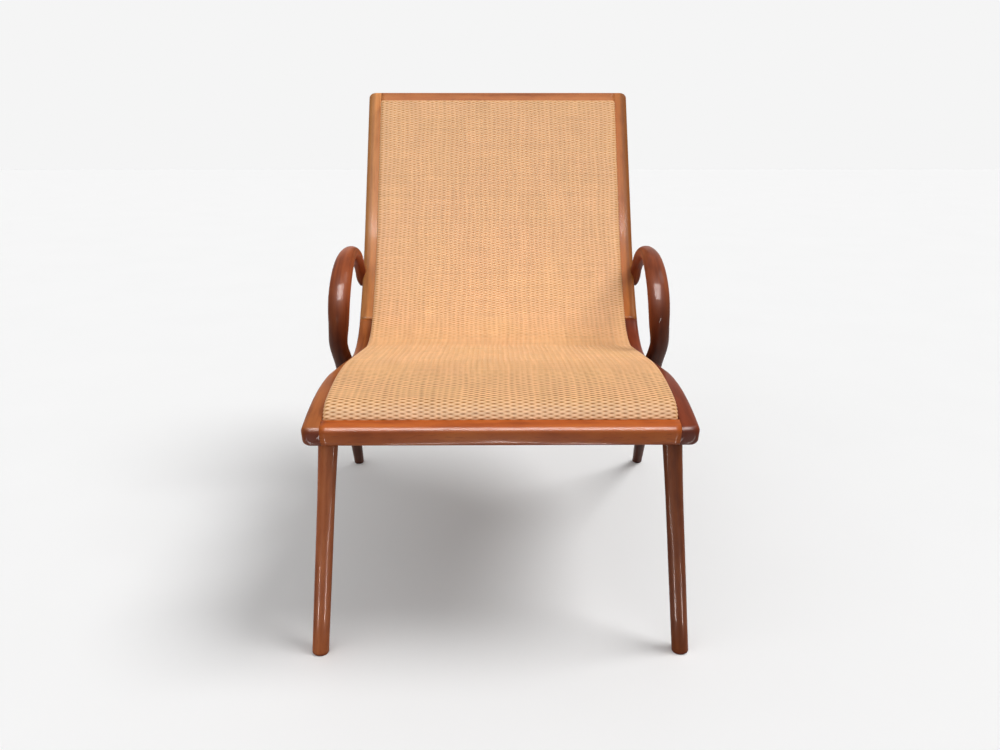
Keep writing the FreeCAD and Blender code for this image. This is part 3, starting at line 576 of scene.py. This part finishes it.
def woven_cane():
    """Split cane, peeled and dried: a pale tan skin with a soft sheen, and painted brown shade between the
    strands.
    Each strand's tone differs a little, a few wefts are darker, and broad patches are yellower or pinker.
    Near the front, more painted shade darkens the gaps between the strands, fading out over the first rows.
    """
    material, nodes, shader = blank("woven_split_cane", Roughness=0.55, IOR=1.45, Specular_IOR_Level=0.06)
    links = material.node_tree.links
    place = add(nodes, "ShaderNodeUVMap", {"uv_map": "grain"}).outputs[0]
    axes = add(nodes, "ShaderNodeSeparateXYZ", i0=place)

    def maths(operation, a, b=0.0):
        return add(nodes, "ShaderNodeMath", {"operation": operation}, i0=a, i1=b).outputs[0]

    wave_u = maths("COSINE", maths("MULTIPLY", axes.outputs[0], math.pi))
    wave_v = maths("COSINE", maths("MULTIPLY", axes.outputs[1], math.pi))
    wave = maths("MULTIPLY", wave_u, wave_v)
    height = maths("ADD", maths("MULTIPLY", wave, 0.5), 0.5)
    # Low places of the weave get painted brown shade; high places keep the cane's own tan.
    strand = ramp(nodes, height, [
        (0.00, "#B87030"), (0.16, "#DB9A54"), (0.40, "#EDBD8A"), (0.65, "#F3C696"), (1.00, "#F7CFA3")])
    weft_noise = add(nodes, "ShaderNodeTexWhiteNoise", {"noise_dimensions": "1D"},
                     W=maths("ROUND", axes.outputs[1])).outputs["Value"]
    warp_noise = add(nodes, "ShaderNodeTexWhiteNoise", {"noise_dimensions": "1D"},
                     W=maths("ROUND", axes.outputs[0])).outputs["Value"]
    stretch_place = add(nodes, "ShaderNodeMapping", i0=place, Scale=(0.09, 0.9, 1.0))
    stretches = add(nodes, "ShaderNodeTexNoise", Vector=stretch_place.outputs[0], Scale=1.0, Detail=2.0)
    column_place = add(nodes, "ShaderNodeMapping", i0=place, Scale=(1.1, 0.035, 1.0))
    column_marks = add(nodes, "ShaderNodeTexNoise", Vector=column_place.outputs[0], Scale=1.0, Detail=2.0)
    tone = maths("ADD", maths("MULTIPLY", weft_noise, 0.05), maths("MULTIPLY", warp_noise, 0.05))
    tone = maths("ADD", tone, maths("MULTIPLY", stretches.outputs["Fac"], 0.32))
    tone = maths("ADD", tone, maths("MULTIPLY", column_marks.outputs["Fac"], 0.30))
    tone = maths("SUBTRACT", tone, maths("MULTIPLY", maths("GREATER_THAN", weft_noise, 0.955), 0.07))
    tone = maths("ADD", tone, 0.65)
    # More painted shade in the gaps near the front hem, fading out by the 75th weft.
    front_gap_shade = add(nodes, "ShaderNodeMapRange", Value=axes.outputs[1], i1=30.0, i2=75.0, i3=0.42, i4=0.0)
    gap = maths("POWER", maths("SUBTRACT", 1.0, height), 2.0)
    tone = maths("SUBTRACT", tone, maths("MULTIPLY", front_gap_shade.outputs[0], gap))
    patch_place = add(nodes, "ShaderNodeMapping", i0=place, Scale=(0.10, 0.032, 1.0))
    patches = add(nodes, "ShaderNodeTexNoise", Vector=patch_place.outputs[0], Scale=1.0, Detail=2.0)
    hue = add(nodes, "ShaderNodeMix", {"data_type": "RGBA"}, i0=patches.outputs["Fac"],
              i6=linear("#FFFBF0"), i7=linear("#FFF4F6"))
    hued = add(nodes, "ShaderNodeMix", {"data_type": "RGBA", "blend_type": "MULTIPLY"},
               i0=1.0, i6=strand, i7=hue.outputs[2])
    links.new(toned(nodes, hued.outputs[2], tone), shader.inputs["Base Color"])
    fibre_place = add(nodes, "ShaderNodeMapping", i0=place, Scale=(0.8, 9.0, 1.0))
    fibres = add(nodes, "ShaderNodeTexNoise", Vector=fibre_place.outputs[0], Scale=1.0, Detail=3.0)
    rise = maths("ADD", wave, maths("MULTIPLY", fibres.outputs["Fac"], 0.25))
    bump = add(nodes, "ShaderNodeBump", Strength=0.35, Distance=0.0005, Height=rise)
    links.new(bump.outputs[0], shader.inputs["Normal"])
    return material


cane_sheet("cane_sheet", woven_cane())

# Pieces under the cane
# Slip frame, stretchers and corner blocks: plain stained hardwood, planed, with a thin satin coat.
# Dowels and tenons are raw birch; screws and bolts are zinc-plated steel; the threaded inserts are brass.


def stained(name, light, dark, scale):
    """Stained hardwood: planed straight grain along the piece's long way, under a soft satin finish."""
    material, nodes, shader = blank(name, Roughness=0.5, Coat_Weight=0.25, Coat_Roughness=0.3)
    links = material.node_tree.links
    place = add(nodes, "ShaderNodeTexCoord").outputs["Object"]
    mapped = add(nodes, "ShaderNodeMapping", i0=place, Scale=scale)
    grain = add(nodes, "ShaderNodeTexNoise", Vector=mapped.outputs[0], Scale=1.0, Detail=5.0, Distortion=0.4)
    links.new(ramp(nodes, grain.outputs["Fac"], [(0.3, dark), (0.7, light)]), shader.inputs["Base Color"])
    bump = add(nodes, "ShaderNodeBump", Strength=0.1, Distance=0.0005, Height=grain.outputs["Fac"])
    links.new(bump.outputs[0], shader.inputs["Normal"])
    return material


def plated(name, light, dark, roughness):
    """Plated metal with a dulled film: faint random changes in tone and roughness."""
    material, nodes, shader = blank(name, Metallic=1.0, Roughness=roughness)
    links = material.node_tree.links
    place = add(nodes, "ShaderNodeTexCoord").outputs["Object"]
    film = add(nodes, "ShaderNodeTexNoise", Vector=place, Scale=400.0, Detail=3.0)
    links.new(ramp(nodes, film.outputs["Fac"], [(0.35, dark), (0.65, light)]), shader.inputs["Base Color"])
    spread = add(nodes, "ShaderNodeMapRange", Value=film.outputs["Fac"],
                 i3=roughness - 0.06, i4=roughness + 0.1)
    links.new(spread.outputs[0], shader.inputs["Roughness"])
    return material


across_wood = stained("stained_cross_wood", "#8A5231", "#5E3019", (6.0, 120.0, 120.0))
along_wood = stained("stained_side_wood", "#8A5231", "#5E3019", (160.0, 8.0, 20.0))
birch = stained("raw_birch", "#D9BC8C", "#BF9C68", (12.0, 200.0, 200.0))
zinc = plated("zinc_plated_steel", "#C6C8C8", "#A9ACAD", 0.32)
brass = plated("turned_brass", "#C9A45A", "#B08A42", 0.28)
BATTEN_INSET = 0.0034
BATTEN_WIDTH = 0.030
BATTEN_OUTER = PANEL_HALF - BATTEN_INSET
BATTEN_INNER = BATTEN_OUTER - BATTEN_WIDTH
BEND_STATION = 0.5142
FRONT_BATTEN_LAST = 0.0589


def rolled_batten(node, x_in, x_out, last, side, finish):
    """Batten with the front roll on its upper side: x_in to x_out, low lift to top(s), at each station s."""
    station, top = front_roll(BATTEN_INSET, 16)
    long = last > station[-1] + 0.001
    more = np.arange(station[-1] + 0.0004, last + 0.001, 0.004) if long else np.array([])
    station = np.append(np.concatenate([station, more[more < last]]), last)
    top = np.concatenate([top, np.full(len(station) - len(top), PANEL_TOP - BATTEN_INSET)])
    full = np.ones_like(station)
    x, lift = rounded_section(x_in * full, x_out * full, PANEL_LOW * full, top, [0.001 * full] * 4, steps=3)
    points = on_line(station[:, None], lift, side * x)
    ring = np.cumsum(np.concatenate([[0], np.hypot(np.diff(x[-1]), np.diff(lift[-1]))]))
    piece = skin(node + "_skin", points, grain_uv(points, ring), flip=side < 0)
    piece.data.materials.append(finish)
    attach(piece, "root")
    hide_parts(node)


rolled_batten("panel_front_batten", -BATTEN_INNER, BATTEN_INNER, FRONT_BATTEN_LAST, 1, across_wood)
rolled_batten("left_panel_seat_batten", BATTEN_INNER, BATTEN_OUTER, BEND_STATION, -1, along_wood)
rolled_batten("right_panel_seat_batten", BATTEN_INNER, BATTEN_OUTER, BEND_STATION, 1, along_wood)
replaced = {"left_seat_rail", "right_seat_rail", "left_back_stile", "right_back_stile", "front_rail",
            "top_rail", "left_front_leg", "right_front_leg", "left_arm_leg", "right_arm_leg", "cane_panel",
            "panel_front_batten", "left_panel_seat_batten", "right_panel_seat_batten"}
plug_wood = stained("mahogany_plug", "#B06A40", "#8E4A26", (40.0, 300.0, 60.0))
for node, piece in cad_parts.items():
    if node in replaced:
        continue
    if node.endswith(("dowels", "tenons")):
        material = birch
    elif node.endswith(("bolts", "washers", "screws")):
        material = zinc
    elif node.endswith("inserts"):
        material = brass
    elif node.endswith("plugs"):
        material = plug_wood
    elif node.startswith(("left_panel", "right_panel")):
        material = along_wood
    else:
        material = across_wood
    piece.data.materials.clear()
    piece.data.materials.append(material)

# Floor, light and camera
# A plain pale studio: a broad key light high on the right, a weaker one low in front, pale light all round.
# Two boxes in front, and four cards on the floor by the front legs, only make the edges of light in the
# lacquer. The camera stands in front, at the height of the chair's back, and looks down 18 degrees.
PALE = "#F5F5F5"
FLOOR_BOUNCE = "#747474"
CENTRE = (0.0, 0.0, 0.4)
NOSE = (0.0, -0.44, 0.4)
CARD_REACH = 0.25
CARD_TURNS = (52, -38)
CAMERA_PLACE = (-0.0088, -1.554, 0.850)
CAMERA_PITCH = 18
CAMERA_TURN = -0.4


def seen_rays(nodes):
    """One for rays that show the background: from the camera, off gloss, and through glass."""
    rays = add(nodes, "ShaderNodeLightPath")
    first = add(nodes, "ShaderNodeMath", {"operation": "MAXIMUM"},
                i0=rays.outputs["Is Camera Ray"], i1=rays.outputs["Is Glossy Ray"])
    return add(nodes, "ShaderNodeMath", {"operation": "MAXIMUM"},
               i0=first.outputs[0], i1=rays.outputs["Is Transmission Ray"]).outputs[0]


floor_points = np.array([[[x, y, 0.0] for x in (-9.0, 9.0)] for y in (-9.0, 12.0)])
floor = skin("floor", floor_points, floor_points[:, :, :2], around=False, caps=(False, False))
floor_material, floor_nodes, floor_shader = blank("pale_floor", Roughness=0.9, Specular_IOR_Level=0.0)
mottle = add(floor_nodes, "ShaderNodeTexNoise", Scale=3.0, Detail=2.0,
             Vector=add(floor_nodes, "ShaderNodeTexCoord").outputs["Object"])
shown_floor = ramp(floor_nodes, mottle.outputs["Fac"], [(0.3, "#F8F8F8"), (0.7, "#F9F9F9")])
floor_colour = add(floor_nodes, "ShaderNodeMix", {"data_type": "RGBA"},
                   i0=seen_rays(floor_nodes), i6=linear(FLOOR_BOUNCE), i7=shown_floor)
floor_material.node_tree.links.new(floor_colour.outputs[2], floor_shader.inputs["Base Color"])
floor.data.materials.append(floor_material)

world = bpy.data.worlds.new("pale_room")
bpy.context.scene.world = world
world.use_nodes = True
nodes = world.node_tree.nodes
sky = nodes["Background"]
sky.inputs["Color"].default_value = (1.0, 1.0, 1.0, 1.0)
sky.inputs["Strength"].default_value = 0.43
shown = add(nodes, "ShaderNodeBackground", Color=linear(PALE), Strength=1.0)
room = add(nodes, "ShaderNodeMixShader", i0=seen_rays(nodes), i1=sky.outputs[0], i2=shown.outputs[0])
world.node_tree.links.new(room.outputs[0], nodes["World Output"].inputs["Surface"])


def aim_rotation(place, aim):
    """Euler angles that turn -Z from a place towards a point, level with the horizon."""
    dx, dy, dz = (b - a for a, b in zip(place, aim))
    return math.atan2(math.hypot(dx, dy), -dz), 0.0, math.atan2(dy, dx) - math.pi / 2


def lamp(name, kind, place, aim, energy, gloss_only=False, **settings):
    """Lamp at a place, turned towards a point; a gloss-only one shows in the lacquer and lights nothing."""
    data = bpy.data.lights.new(name, kind)
    data.energy = energy
    for key, value in settings.items():
        setattr(data, key, value)
    light = bpy.data.objects.new(name, data)
    bpy.context.scene.collection.objects.link(light)
    light.location = place
    light.rotation_euler = aim_rotation(place, aim)
    light.visible_diffuse = not gloss_only
    light.visible_camera = False


lamp("key_sun", "SUN", (1.75, -0.18, 3.2), CENTRE, 1.62, angle=math.radians(30))
lamp("front_sun", "SUN", (-1.1, -2.1, 1.7), CENTRE, 0.75, angle=math.radians(95))
lamp("front_box", "AREA", (0.0, -2.91, 2.14), NOSE, 870.0, gloss_only=True,
     shape="RECTANGLE", size=2.4, size_y=1.6)
lamp("upper_box", "AREA", (0.0, -2.05, 3.0), NOSE, 480.0, gloss_only=True,
     shape="RECTANGLE", size=2.6, size_y=0.8)
for side in (-1, 1):
    for turn in CARD_TURNS:
        across, ahead = side * -math.sin(math.radians(turn)), -math.cos(math.radians(turn))
        x, y = side * 0.305 + CARD_REACH * across, -0.430 + CARD_REACH * ahead
        lamp("leg_card_%d_%d" % (side + 1, turn % 360), "AREA", (x, y, 0.004),
             (x - 0.01 * across, y - 0.01 * ahead, 1.0), 2.0, gloss_only=True,
             shape="RECTANGLE", size=0.03, size_y=0.28)

camera = bpy.data.cameras.new("camera")
camera.lens = 28.8
camera.sensor_width = 36.0
viewer = bpy.data.objects.new("camera", camera)
bpy.context.scene.collection.objects.link(viewer)
viewer.location = CAMERA_PLACE
viewer.rotation_euler = (math.radians(90 - CAMERA_PITCH), 0.0, math.radians(CAMERA_TURN))
bpy.context.scene.camera = viewer
bpy.context.scene.view_settings.view_transform = "Standard"
